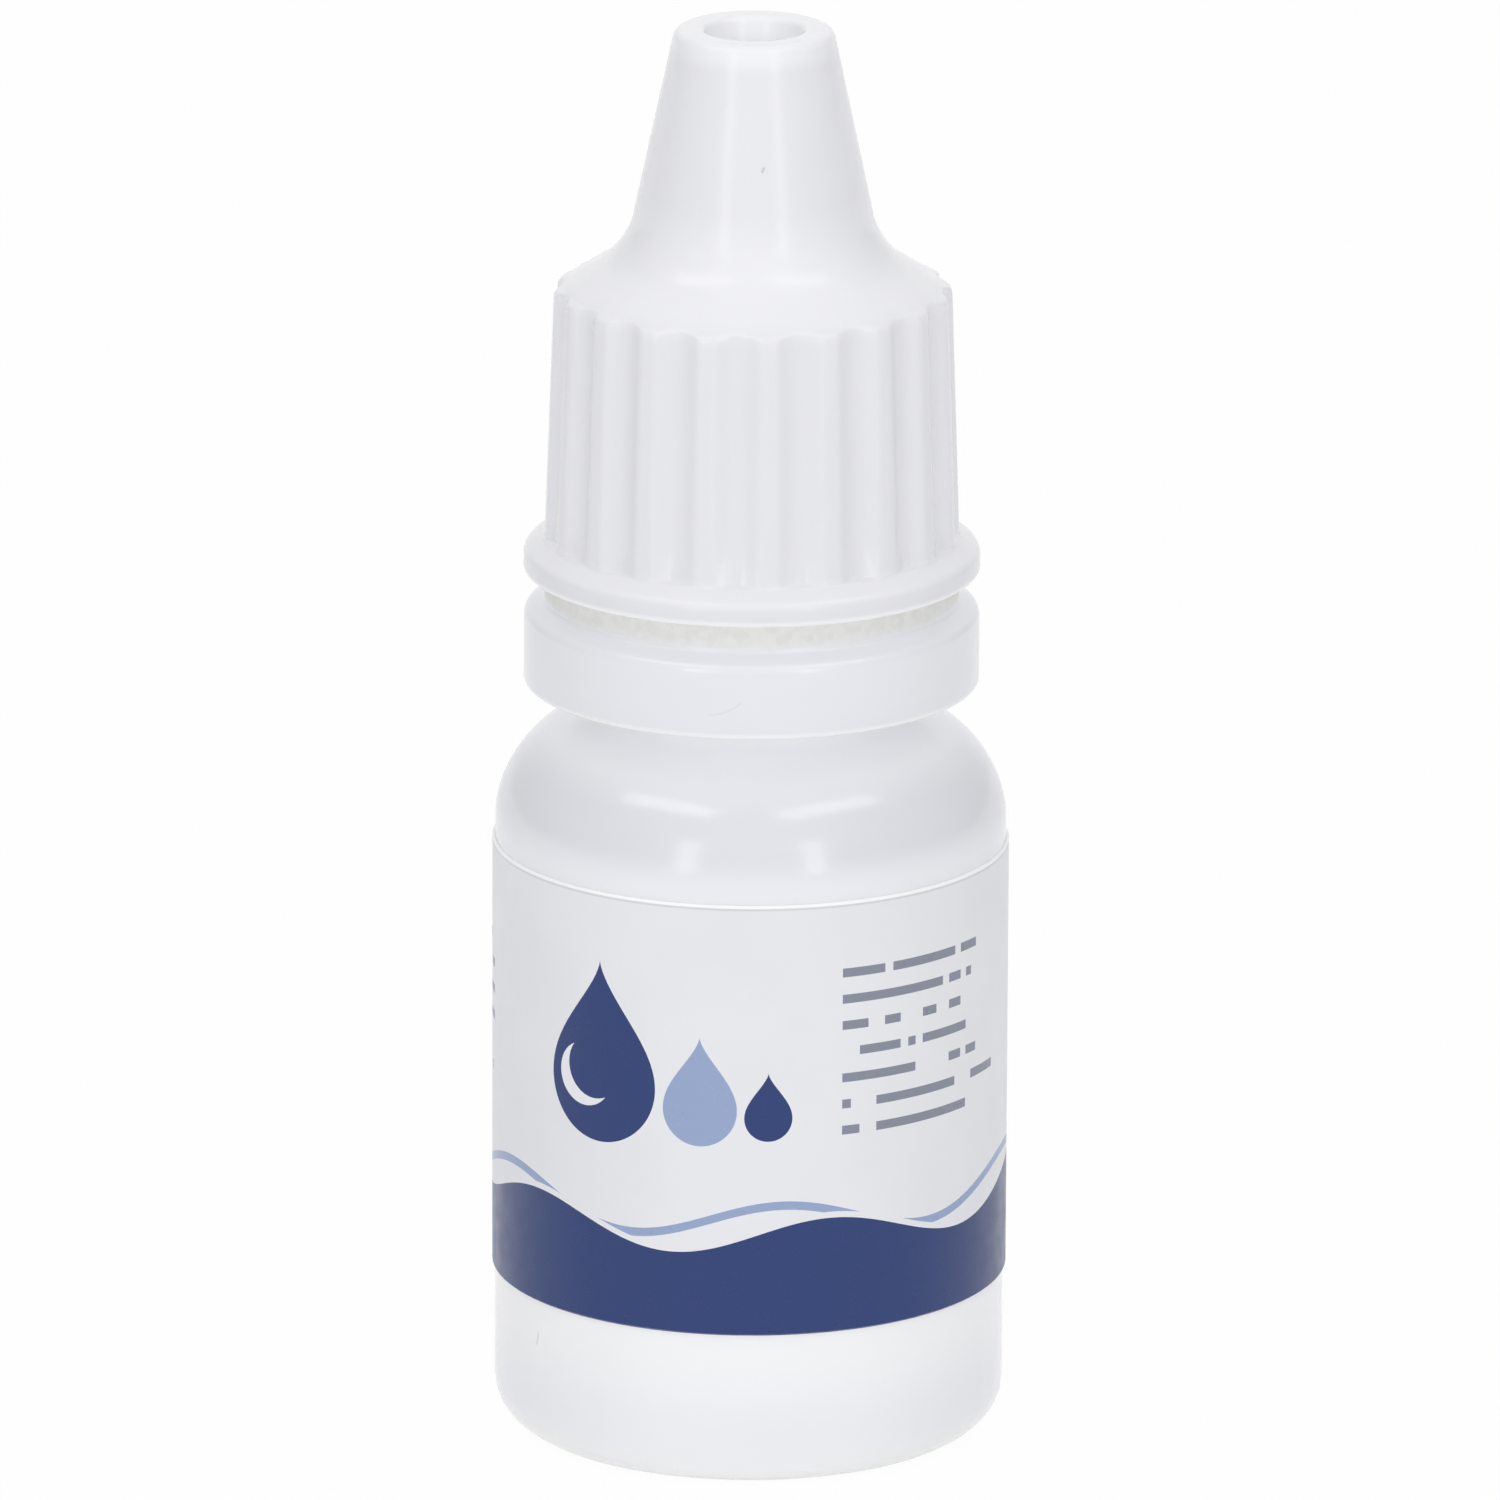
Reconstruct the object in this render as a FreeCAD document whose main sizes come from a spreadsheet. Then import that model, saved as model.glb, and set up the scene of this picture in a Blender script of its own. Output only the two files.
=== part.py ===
import FreeCAD, Part
import os
import Sketcher

# Eye drop bottle: a soft bottle with a pressed-in dropper, a fluted screw cap, a tamper ring and a wrap label.
# Millimetres, +Z up, origin at the centre of the foot on the standing plane, label front towards -Y.

doc = FreeCAD.newDocument("eye_drop_bottle")
sheet = doc.addObject("Spreadsheet::Sheet", "sizes")

driving_sizes = [
    ("body_radius", 12.25, "outside radius of the bare body"),
    ("body_wall", 0.9, "blown wall of body and shoulder"),
    ("base_wall", 1.0, "wall of the base"),
    ("shoulder_height", 33.55, "standing plane to the corner of wall and shoulder, before its round"),
    ("shoulder_round", 5.1, "outside round of the shoulder"),
    ("shoulder_rise", 2.25, "rise of the shoulder from its corner to the neck"),
    ("foot_round", 2.2, "outside round of the foot"),
    ("foot_land", 1.25, "width of the flat ring that the bottle stands on"),
    ("push_up", 0.9, "height of the base panel above the standing plane"),
    ("push_up_slope", 1.2, "width of the slope between foot ring and base panel"),
    ("neck_radius", 7.1, "outside radius of the neck between its threads"),
    ("neck_wall", 1.5, "wall of the neck"),
    ("neck_root_round", 1.5, "hollow round between shoulder and neck"),
    ("bead_reach", 1.7, "how far the bead that holds the ring stands out of the neck"),
    ("bead_land", 0.35, "straight edge of that bead"),
    ("bead_height", 1.0, "height of that bead with its ramp"),
    ("ring_standoff", 3.43, "shoulder corner height to the ring's lower face"),
    ("ring_height", 3.63, "height of the tamper ring"),
    ("ring_wall", 1.59, "wall of the tamper ring"),
    ("ring_play", 0.5, "radial room between bead and ring"),
    ("ring_top_round", 0.4, "round of the ring's upper edge"),
    ("ring_foot_round", 0.2, "round of the ring's lower edge"),
    ("lip_catch", 0.7, "how far the ring's inner lip reaches under the bead"),
    ("lip_rise", 0.2, "ring's lower face to the start of the lip"),
    ("lip_ramp", 0.6, "height of the lip's lower ramp"),
    ("lip_land", 0.5, "straight edge of the lip"),
    ("lip_gap", 0.35, "lip to bead, along the neck"),
    ("collar_wall", 0.6, "wall of the torn collar above the ring"),
    ("bridge_height", 0.3, "height of the break-off bridges"),
    ("bridge_width", 0.8, "width of a break-off bridge"),
    ("bridge_inset", 0.08, "bridge faces inside the collar's faces"),
    ("bridge_count", 10, "number of break-off bridges"),
    ("tear_gap", 1.86, "ring's upper face to the cap's lower face"),
    ("thread_room", 1.0, "neck to the cap's bore, filled by the threads"),
    ("skirt_wall", 1.39, "wall of the cap's skirt under its ribs' upper ends"),
    ("skirt_draft", 0.42, "growth of the skirt's radius down to the flange"),
    ("skirt_height", 13.94, "cap's lower face to the rim of its shoulder"),
    ("rim_ledge", 0.08, "floor of the flutes to the rim of the shoulder, across"),
    ("rim_band", 0.16, "rim of the shoulder down to the ribs' upper ends"),
    ("rim_round", 0.25, "round of the rim of the shoulder"),
    ("rib_fall", 0.06, "fall of the ribs' upper ends"),
    ("rib_round", 0.2, "round of the ribs' upper edge"),
    ("flange_reach", 1.0, "how far the flange stands out of the skirt"),
    ("flange_edge", 1.08, "height of the flange's edge"),
    ("flange_fall", 0.55, "fall of the flange's upper face"),
    ("flange_top_round", 0.4, "round of the flange's upper edge"),
    ("flange_foot_round", 0.25, "round of the flange's lower edge"),
    ("mouth_chamfer", 0.4, "chamfer at the mouth of the cap's bore"),
    ("crown_drop", 1.17, "rim of the cap's shoulder to the ceiling of its bore"),
    ("shoulder_lift", 1.88, "rim of the cap's shoulder to the foot of its cone"),
    ("cone_root_round", 3.63, "hollow round between the cap's shoulder and cone"),
    ("cone_height", 10.69, "foot of the cone to the tip"),
    ("cone_wall", 1.0, "wall of the cone, taken at its two ends"),
    ("tip_round", 0.5, "outer round of the tip"),
    ("tip_land", 1.4, "tip's outer edge to the mouth of its dish"),
    ("dish_depth", 2.6, "depth of the dish in the tip"),
    ("dish_draft", 0.6, "narrowing of the dish to its floor"),
    ("dish_round", 0.35, "round of the mouth of the dish"),
    ("tip_wall", 1.0, "floor of the dish to the roof of the cap's inside"),
    ("flute_count", 20, "number of grip flutes"),
    ("flute_radius", 1.45, "radius of a flute"),
    ("flute_depth", 0.42, "depth of a flute"),
    ("flute_runout", 0.6, "how far the flutes run past the ribs' upper ends"),
    ("flute_turn", -4.4, "turn of the cap about its axis, in degrees"),
    ("seat_gap", 0.1, "ceiling of the cap's bore to the dropper's flange"),
    ("plug_clearance", 0.12, "dropper's skirt to the neck's bore"),
    ("plug_fit", 0.02, "dropper's sealing ridge to the neck's bore"),
    ("plug_wall", 1.35, "wall of the dropper's skirt"),
    ("plug_depth", 6.5, "length of the dropper's skirt in the neck"),
    ("plug_lead", 0.8, "length of the lead-in taper of that skirt"),
    ("plug_taper", 0.35, "narrowing of that lead-in"),
    ("ridge_drop", 1.6, "neck's rim to the top of the sealing ridge"),
    ("ridge_height", 0.9, "height of the sealing ridge"),
    ("plug_flange", 1.2, "thickness of the dropper's flange"),
    ("plug_inset", 0.15, "dropper's flange inside the neck's edge"),
    ("plug_flange_round", 0.3, "round of that flange's edge"),
    ("nozzle_base_radius", 4.15, "radius of the nozzle at its foot"),
    ("nozzle_wall", 0.95, "wall of the nozzle at its foot"),
    ("nozzle_lip", 0.97, "width of the nozzle's end face"),
    ("nozzle_round", 0.45, "round of the nozzle's end"),
    ("nozzle_root_round", 0.7, "hollow round at the nozzle's foot"),
    ("nozzle_clearance", 0.9, "nozzle to the inside of the cap's cone"),
    ("nozzle_gap", 0.6, "nozzle's end to the roof of the cap's inside"),
    ("channel_radius", 0.35, "radius of the dosing channel"),
    ("channel_length", 4.0, "nozzle's end to the foot of the channel"),
    ("outlet_flare", 0.55, "growth of the channel's radius to the outlet"),
    ("outlet_depth", 1.6, "depth of the flared outlet"),
    ("pin_clearance", 0.15, "cap's sealing pin to the outlet"),
    ("pin_reach", 1.0, "how far the sealing pin enters the outlet"),
    ("label_bottom", 7.87, "standing plane to the label's lower edge"),
    ("label_margin", 0.98, "label's upper edge to the start of the shoulder"),
    ("label_thickness", 0.12, "thickness of the label film"),
    ("glue_gap", 0.02, "label film to the body"),
    ("label_window", 6.0, "bare strip between the label's ends at the back"),
    ("fill_headroom", 3.6, "surface of the liquid to the start of the shoulder"),
    ("fill_gap", 0.05, "liquid to the wall"),
    ("edge_round", 0.1, "round of the bead and of the neck's rim"),
    ("least_round", 0.2, "smallest inside round"),
]

for row, (alias, value, note) in enumerate(driving_sizes, start=1):
    sheet.set(f"A{row}", note)
    sheet.set(f"B{row}", str(value))
    sheet.setAlias(f"B{row}", alias)
doc.recompute()

# Radii and heights that several pieces share, from the neck outwards and from the foot upwards
bore_radius = "(sizes.neck_radius - sizes.neck_wall)"
bead_radius = "(sizes.neck_radius + sizes.bead_reach)"
ring_inside = f"({bead_radius} + sizes.ring_play)"
ring_outside = f"({ring_inside} + sizes.ring_wall)"
collar_outside = f"({ring_inside} + sizes.collar_wall)"
cap_bore = "(sizes.neck_radius + sizes.thread_room)"
skirt_top_radius = f"({cap_bore} + sizes.skirt_wall)"
skirt_foot_radius = f"({skirt_top_radius} + sizes.skirt_draft)"
flange_radius = f"({skirt_foot_radius} + sizes.flange_reach)"
rim_radius = f"({skirt_top_radius} - sizes.flute_depth - sizes.rim_ledge)"
outlet_radius = "(sizes.channel_radius + sizes.outlet_flare)"
nozzle_end_radius = f"({outlet_radius} + sizes.nozzle_lip)"
cone_inner_top = f"({nozzle_end_radius} + sizes.nozzle_clearance)"
cone_inner_foot = "(sizes.nozzle_base_radius + sizes.nozzle_clearance)"
tip_radius = f"({cone_inner_top} + sizes.cone_wall)"
cone_foot_radius = f"({cone_inner_foot} + sizes.cone_wall)"
body_inside = "(sizes.body_radius - sizes.body_wall)"
foot_ring_radius = "(sizes.body_radius - sizes.foot_round - sizes.foot_land)"
panel_radius = f"({foot_ring_radius} - sizes.push_up_slope)"

# The shoulder's round and the neck's hollow round share the slope between them.
shoulder_run = "(sizes.body_radius - sizes.neck_radius)"
shoulder_bend = f"tan((90 deg - atan(sizes.shoulder_rise / {shoulder_run})) / 2)"
shoulder_slope = f"sqrt({shoulder_run}^2 + sizes.shoulder_rise^2)"
shoulder_room = f"({shoulder_slope} / {shoulder_bend} - sizes.neck_root_round - sizes.edge_round)"
shoulder_outer_round = f"min(sizes.shoulder_round; {shoulder_room})"
wall_end = f"(sizes.shoulder_height - {shoulder_outer_round} * {shoulder_bend})"
neck_root = "(sizes.shoulder_height + sizes.shoulder_rise)"
ring_bottom = "(sizes.shoulder_height + sizes.ring_standoff)"
ring_top = f"({ring_bottom} + sizes.ring_height)"
lip_top = f"({ring_bottom} + sizes.lip_rise + sizes.lip_ramp + sizes.lip_land)"
bead_bottom = f"({lip_top} + sizes.lip_gap)"
cap_bottom = f"({ring_top} + sizes.tear_gap)"
collar_top = f"({cap_bottom} - sizes.bridge_height)"
flange_edge_top = f"({cap_bottom} + sizes.flange_edge)"
flange_top = f"({flange_edge_top} + sizes.flange_fall)"
rim = f"({cap_bottom} + sizes.skirt_height)"
rib_root = f"({rim} - sizes.rim_band)"
rib_top = f"({rib_root} - sizes.rib_fall)"
ceiling = f"({rim} - sizes.crown_drop)"
cone_foot = f"({rim} + sizes.shoulder_lift)"
tip_top = f"({cone_foot} + sizes.cone_height)"
dish_floor = f"({tip_top} - sizes.dish_depth)"
roof = f"({dish_floor} - sizes.tip_wall)"
nozzle_end = f"({roof} - sizes.nozzle_gap)"
plug_flange_top = f"({ceiling} - sizes.seat_gap)"
neck_top = f"({plug_flange_top} - sizes.plug_flange)"
plug_bottom = f"({neck_top} - sizes.plug_depth)"
label_top = f"({wall_end} - sizes.label_margin)"
fill_top = f"({wall_end} - sizes.fill_headroom)"


def origin_plane(body, role):
    return next(plane for plane in body.Origin.OriginFeatures if plane.Role == role)


def new_body(label):
    body = doc.addObject("PartDesign::Body", label)
    body.Label = label
    return body


def new_sketch(body, name, role, height=None):
    sketch = body.newObject("Sketcher::SketchObject", name)
    sketch.AttachmentSupport = [(origin_plane(body, role), "")]
    sketch.MapMode = "FlatFace"
    if height:
        sketch.setExpression("AttachmentOffset.Base.z", height)
    return sketch


def bind(sketch, kind, geometry, point, name, expression):
    # a distance from the sketch's origin to a point, tied to the sheet
    index = sketch.addConstraint(Sketcher.Constraint(kind, -1, 1, geometry, point, 1.0))
    sketch.renameConstraint(index, name)
    sketch.setExpression(f"Constraints.{name}", expression)


def draw_outline(sketch, corners):
    # Closed outline through named corners (name, across, up). None lies on the axis or on the base line.
    # A corner that repeats the one before it across or up is held by a plumb or level line instead of a size.
    count = len(corners)
    start = [FreeCAD.Vector(1 + index, (index * index) % 7, 0) for index in range(count)]
    for index in range(count):
        sketch.addGeometry(Part.LineSegment(start[index], start[(index + 1) % count]), False)
    for index in range(count):
        sketch.addConstraint(Sketcher.Constraint("Coincident", index, 2, (index + 1) % count, 1))
    before = (object(), object())
    for index, (name, across, up) in enumerate(corners):
        if across is None:
            sketch.addConstraint(Sketcher.Constraint("PointOnObject", index, 1, -2))
        elif across == before[0]:
            sketch.addConstraint(Sketcher.Constraint("Vertical", index - 1))
        else:
            bind(sketch, "DistanceX", index, 1, f"{name}_across", across)
        if up is None:
            sketch.addConstraint(Sketcher.Constraint("PointOnObject", index, 1, -1))
        elif up == before[1]:
            sketch.addConstraint(Sketcher.Constraint("Horizontal", index - 1))
        else:
            bind(sketch, "DistanceY", index, 1, f"{name}_up", up)
        before = (across, up)


def revolve(body, name, corners):
    sketch = new_sketch(body, f"{name}_outline", "XZ_Plane")
    draw_outline(sketch, corners)
    solid = body.newObject("PartDesign::Revolution", name)
    solid.Profile = sketch
    solid.ReferenceAxis = (sketch, ["V_Axis"])
    solid.Angle = 360
    sketch.Visibility = False
    doc.recompute()
    places = {corner[0]: sketch.Geometry[index].StartPoint for index, corner in enumerate(corners)}
    return solid, places


def circle_edges(shape, places):
    # names of the edges that the given outline corners swept round the axis
    found = []
    for index, edge in enumerate(shape.Edges, start=1):
        curve = edge.Curve
        if not isinstance(curve, Part.Circle):
            continue
        for place in places:
            if abs(curve.Radius - place.x) < 1e-4 and abs(curve.Center.z - place.y) < 1e-4:
                found.append(f"Edge{index}")
    return found


def round_off(body, base, places, rounds):
    # one fillet for each (name, corners, radius)
    for name, corners, radius in rounds:
        edges = circle_edges(base.Shape, [places[corner] for corner in corners])
        if len(edges) < len(corners):
            raise RuntimeError(f"{body.Label}: {name} finds {len(edges)} of {len(corners)} edges")
        fillet = body.newObject("PartDesign::Fillet", name)
        fillet.Base = (base, edges)
        fillet.setExpression("Radius", radius)
        doc.recompute()
        base = fillet
    body.Tip = base
    return base


def polar_pattern(body, name, original, sketch, count):
    pattern = body.newObject("PartDesign::PolarPattern", name)
    pattern.Originals = [original]
    pattern.Axis = (sketch, ["N_Axis"])
    pattern.Angle = 360
    pattern.setExpression("Occurrences", count)
    body.Tip = pattern
    doc.recompute()
    return pattern


def make_bottle():
    body = new_body("bottle")
    inner_shoulder = "sizes.shoulder_height - sizes.body_wall"
    bore_root = f"{neck_root} - sizes.body_wall"
    bead_shoulder = f"{bead_bottom} + sizes.bead_land"
    bead_top = f"{bead_bottom} + sizes.bead_height"
    panel_inside = "sizes.push_up + sizes.base_wall"
    shell, places = revolve(body, "bottle_shell", [
        ("panel_centre", None, "sizes.push_up"),
        ("panel_edge", panel_radius, "sizes.push_up"),
        ("foot_inner", foot_ring_radius, None),
        ("foot", "sizes.body_radius", None),
        ("shoulder", "sizes.body_radius", "sizes.shoulder_height"),
        ("neck_root", "sizes.neck_radius", neck_root),
        ("bead_under", "sizes.neck_radius", bead_bottom),
        ("bead_low", bead_radius, bead_bottom),
        ("bead_high", bead_radius, bead_shoulder),
        ("bead_over", "sizes.neck_radius", bead_top),
        ("rim_outer", "sizes.neck_radius", neck_top),
        ("rim_inner", bore_radius, neck_top),
        ("bore_root", bore_radius, bore_root),
        ("inner_shoulder", body_inside, inner_shoulder),
        ("inner_foot", body_inside, "sizes.base_wall"),
        ("inner_slope", foot_ring_radius, "sizes.base_wall"),
        ("inner_panel", panel_radius, panel_inside),
        ("inner_centre", None, panel_inside),
    ])
    inner_shoulder_round = f"max({shoulder_outer_round} - sizes.body_wall; sizes.least_round)"
    round_off(body, shell, places, [
        ("shoulder_outside", ["shoulder"], shoulder_outer_round),
        ("shoulder_inside", ["inner_shoulder"], inner_shoulder_round),
        ("foot_outside", ["foot"], "sizes.foot_round"),
        ("foot_inside", ["inner_foot"], "max(sizes.foot_round - sizes.body_wall; sizes.least_round)"),
        ("neck_root_outside", ["neck_root", "bore_root"], "sizes.neck_root_round"),
        ("bottle_edges", ["bead_low", "bead_high", "rim_outer"], "sizes.edge_round"),
    ])
    return body


def make_dropper_plug():
    body = new_body("dropper_plug")
    skirt_outside = f"({bore_radius} - sizes.plug_clearance)"
    skirt_inside = f"({skirt_outside} - sizes.plug_wall)"
    flange_outside = "sizes.neck_radius - sizes.plug_inset"
    lead_top = f"{plug_bottom} + sizes.plug_lead"
    ridge_top = f"{neck_top} - sizes.ridge_drop"
    ridge_middle = f"{ridge_top} - sizes.ridge_height / 2"
    ridge_bottom = f"{ridge_top} - sizes.ridge_height"
    chamber_foot = "sizes.nozzle_base_radius - sizes.nozzle_wall"
    turned, places = revolve(body, "dropper_body", [
        ("skirt_inner", skirt_inside, plug_bottom),
        ("skirt_outer", f"{skirt_outside} - sizes.plug_taper", plug_bottom),
        ("lead_top", skirt_outside, lead_top),
        ("ridge_bottom", skirt_outside, ridge_bottom),
        ("ridge_crest", f"{bore_radius} - sizes.plug_fit", ridge_middle),
        ("ridge_top", skirt_outside, ridge_top),
        ("flange_root", skirt_outside, neck_top),
        ("flange_under", flange_outside, neck_top),
        ("flange_over", flange_outside, plug_flange_top),
        ("nozzle_foot", "sizes.nozzle_base_radius", plug_flange_top),
        ("nozzle_end", nozzle_end_radius, nozzle_end),
        ("outlet_edge", outlet_radius, nozzle_end),
        ("outlet_root", "sizes.channel_radius", f"{nozzle_end} - sizes.outlet_depth"),
        ("channel_foot", "sizes.channel_radius", f"{nozzle_end} - sizes.channel_length"),
        ("chamber_foot", chamber_foot, plug_flange_top),
        ("chamber_edge", skirt_inside, neck_top),
    ])
    round_off(body, turned, places, [
        ("nozzle_root_round", ["nozzle_foot"], "sizes.nozzle_root_round"),
        ("nozzle_end_round", ["nozzle_end"], "sizes.nozzle_round"),
        ("dropper_flange_round", ["flange_over"], "sizes.plug_flange_round"),
    ])
    return body


def make_screw_cap():
    body = new_body("screw_cap")
    dish_mouth = f"({tip_radius} - sizes.tip_land)"
    mouth_radius = f"{cap_bore} + sizes.mouth_chamfer"
    turned, places = revolve(body, "cap_shell", [
        ("dish_centre", None, dish_floor),
        ("dish_edge", f"{dish_mouth} - sizes.dish_draft", dish_floor),
        ("dish_mouth", dish_mouth, tip_top),
        ("tip", tip_radius, tip_top),
        ("cone_foot", cone_foot_radius, cone_foot),
        ("rim", rim_radius, rim),
        ("rib_root", rim_radius, rib_root),
        ("rib_top", skirt_top_radius, rib_top),
        ("skirt_foot", skirt_foot_radius, flange_top),
        ("flange_upper", flange_radius, flange_edge_top),
        ("flange_lower", flange_radius, cap_bottom),
        ("mouth", mouth_radius, cap_bottom),
        ("bore_mouth", cap_bore, f"{cap_bottom} + sizes.mouth_chamfer"),
        ("bore_ceiling", cap_bore, ceiling),
        ("cone_inner_foot", cone_inner_foot, ceiling),
        ("cone_inner_top", cone_inner_top, roof),
        ("pin_root", f"{outlet_radius} - sizes.pin_clearance", roof),
        ("pin_end", "sizes.channel_radius", f"{nozzle_end} - sizes.pin_reach"),
        ("pin_centre", None, f"{nozzle_end} - sizes.pin_reach"),
    ])
    # The round of the rim leaves part of the rim band straight, also under a flatter shoulder.
    rim_turn = f"(90 deg - atan(sizes.shoulder_lift / ({rim_radius} - {cone_foot_radius})))"
    rim_limit = f"0.9 * sizes.rim_band / tan({rim_turn} / 2)"
    rounded = round_off(body, turned, places, [
        ("cone_root", ["cone_foot"], "sizes.cone_root_round"),
        ("rim_round", ["rim"], f"min(sizes.rim_round; {rim_limit})"),
        ("rib_round", ["rib_top"], "sizes.rib_round"),
        ("tip_outside", ["tip"], "sizes.tip_round"),
        ("dish_rim", ["dish_mouth"], "sizes.dish_round"),
        ("flange_top_round", ["flange_upper"], "sizes.flange_top_round"),
        ("flange_foot_round", ["flange_lower"], "sizes.flange_foot_round"),
    ])
    # A flute is a round-bottomed cut that follows the draft of the skirt and leaves the grip ribs standing.
    inset = "sizes.flute_radius - sizes.flute_depth"
    slope = f"sizes.skirt_draft / ({rib_top} - {flange_top})"
    low = new_sketch(body, "flute_low", "XY_Plane", flange_top)
    high = new_sketch(body, "flute_high", "XY_Plane", f"{rib_top} + sizes.flute_runout")
    centres = [(low, f"{skirt_foot_radius} + {inset}"),
               (high, f"{skirt_top_radius} - sizes.flute_runout * {slope} + {inset}")]
    for sketch, centre in centres:
        ring = Part.Circle(FreeCAD.Vector(10, 0, 0), FreeCAD.Vector(0, 0, 1), 1)
        sketch.addGeometry(ring, False)
        sketch.addConstraint(Sketcher.Constraint("PointOnObject", 0, 3, -1))
        bind(sketch, "DistanceX", 0, 3, "centre", centre)
        index = sketch.addConstraint(Sketcher.Constraint("Radius", 0, 1.0))
        sketch.renameConstraint(index, "flute")
        sketch.setExpression("Constraints.flute", "sizes.flute_radius")
    doc.recompute()
    flute = body.newObject("PartDesign::SubtractiveLoft", "flute")
    flute.Profile = low
    flute.Sections = [high]
    flute.Ruled = True
    doc.recompute()
    if flute.Shape.Volume >= rounded.Shape.Volume:
        raise RuntimeError("the flute cuts nothing")
    polar_pattern(body, "flutes", flute, low, "sizes.flute_count")
    body.setExpression("Placement.Rotation.Angle", "sizes.flute_turn")
    return body


def make_tamper_ring():
    body = new_body("tamper_ring")
    lip_radius = f"({bead_radius} - sizes.lip_catch)"
    lip_foot = f"({ring_bottom} + sizes.lip_rise)"
    turned, places = revolve(body, "ring_band", [
        ("foot_inner", ring_inside, ring_bottom),
        ("foot_outer", ring_outside, ring_bottom),
        ("top_outer", ring_outside, ring_top),
        ("collar_foot", collar_outside, ring_top),
        ("collar_outer", collar_outside, collar_top),
        ("collar_inner", ring_inside, collar_top),
        ("lip_root", ring_inside, lip_top),
        ("lip_high", lip_radius, lip_top),
        ("lip_low", lip_radius, f"{lip_foot} + sizes.lip_ramp"),
        ("lip_foot", ring_inside, lip_foot),
    ])
    round_off(body, turned, places, [
        ("ring_top_round", ["top_outer"], "sizes.ring_top_round"),
        ("ring_foot_round", ["foot_outer"], "sizes.ring_foot_round"),
    ])
    # The bridges stand on the collar and meet the cap's lower face.
    sketch = new_sketch(body, "bridge_outline", "XY_Plane", collar_top)
    near = f"{ring_inside} + sizes.bridge_inset"
    far = f"{collar_outside} - sizes.bridge_inset"
    half = "sizes.bridge_width / 2"
    draw_outline(sketch, [
        ("near_left", near, f"0 - {half}"),
        ("far_left", far, f"0 - {half}"),
        ("far_right", far, half),
        ("near_right", near, half),
    ])
    doc.recompute()
    bridge = body.newObject("PartDesign::Pad", "bridge")
    bridge.Profile = sketch
    bridge.setExpression("Length", "sizes.bridge_height")
    doc.recompute()
    polar_pattern(body, "bridges", bridge, sketch, "sizes.bridge_count")
    return body


def make_label():
    # The film goes round the body and leaves a bare strip at the back.
    body = new_body("label")
    film_inside = "(sizes.body_radius + sizes.glue_gap)"
    film_outside = f"({film_inside} + sizes.label_thickness)"
    film, _ = revolve(body, "label_film", [
        ("lower_inner", film_inside, "sizes.label_bottom"),
        ("lower_outer", film_outside, "sizes.label_bottom"),
        ("upper_outer", film_outside, label_top),
        ("upper_inner", film_inside, label_top),
    ])
    film.Midplane = True
    film.setExpression("Angle", f"360 - 360 * sizes.label_window / (2 * pi * {film_outside})")
    body.Placement = FreeCAD.Placement(FreeCAD.Vector(), FreeCAD.Rotation(FreeCAD.Vector(0, 0, 1), -90))
    return body


def make_liquid():
    body = new_body("liquid")
    fill_radius = f"({body_inside} - sizes.fill_gap)"
    floor = "sizes.base_wall + sizes.fill_gap"
    panel_floor = "sizes.push_up + sizes.base_wall + sizes.fill_gap"
    fill, places = revolve(body, "liquid_body", [
        ("panel_centre", None, panel_floor),
        ("panel_edge", panel_radius, panel_floor),
        ("floor_edge", foot_ring_radius, floor),
        ("foot", fill_radius, floor),
        ("surface_edge", fill_radius, fill_top),
        ("surface_centre", None, fill_top),
    ])
    round_off(body, fill, places, [
        ("liquid_foot", ["foot"], "max(sizes.foot_round - sizes.body_wall; sizes.least_round)"),
    ])
    return body


bodies = [make_bottle(), make_dropper_plug(), make_screw_cap(), make_tamper_ring(), make_label(), make_liquid()]
doc.recompute()

for item in doc.Objects:
    if "Invalid" in item.State or "Error" in item.State:
        raise RuntimeError(f"{item.Label} did not rebuild: {item.State}")
for body in bodies:
    if body.Shape.isNull() or not body.Shape.isValid() or len(body.Shape.Solids) != 1:
        raise RuntimeError(f"{body.Label} is not one valid solid")

os.makedirs("parts", exist_ok=True)
for body in bodies:
    body.Shape.exportStep(f"parts/{body.Label}.step")
    print(body.Label, round(body.Shape.Volume, 1), "mm3", body.Shape.BoundBox)
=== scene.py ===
import math

import bmesh
import bpy
from mathutils import Matrix, Quaternion, Vector, noise


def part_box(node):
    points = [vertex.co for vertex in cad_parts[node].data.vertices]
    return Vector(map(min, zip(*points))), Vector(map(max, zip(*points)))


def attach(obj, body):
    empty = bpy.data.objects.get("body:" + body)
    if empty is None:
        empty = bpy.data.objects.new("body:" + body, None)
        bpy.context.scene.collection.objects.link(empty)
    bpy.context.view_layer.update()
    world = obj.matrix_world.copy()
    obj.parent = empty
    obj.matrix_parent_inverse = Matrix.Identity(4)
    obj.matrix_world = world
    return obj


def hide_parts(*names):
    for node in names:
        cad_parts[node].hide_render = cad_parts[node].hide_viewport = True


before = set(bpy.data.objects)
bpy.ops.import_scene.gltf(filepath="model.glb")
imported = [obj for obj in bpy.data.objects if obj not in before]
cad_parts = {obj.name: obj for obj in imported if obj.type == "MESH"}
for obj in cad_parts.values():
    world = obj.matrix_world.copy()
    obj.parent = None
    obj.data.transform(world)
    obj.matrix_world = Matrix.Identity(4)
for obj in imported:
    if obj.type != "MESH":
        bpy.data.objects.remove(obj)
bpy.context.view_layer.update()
mm = 0.001  # lengths below are in millimetres
fullTurn = 2 * math.pi
print("frame loaded:", sorted(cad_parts))


# Turned outlines, spun round the bottle's axis

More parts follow.
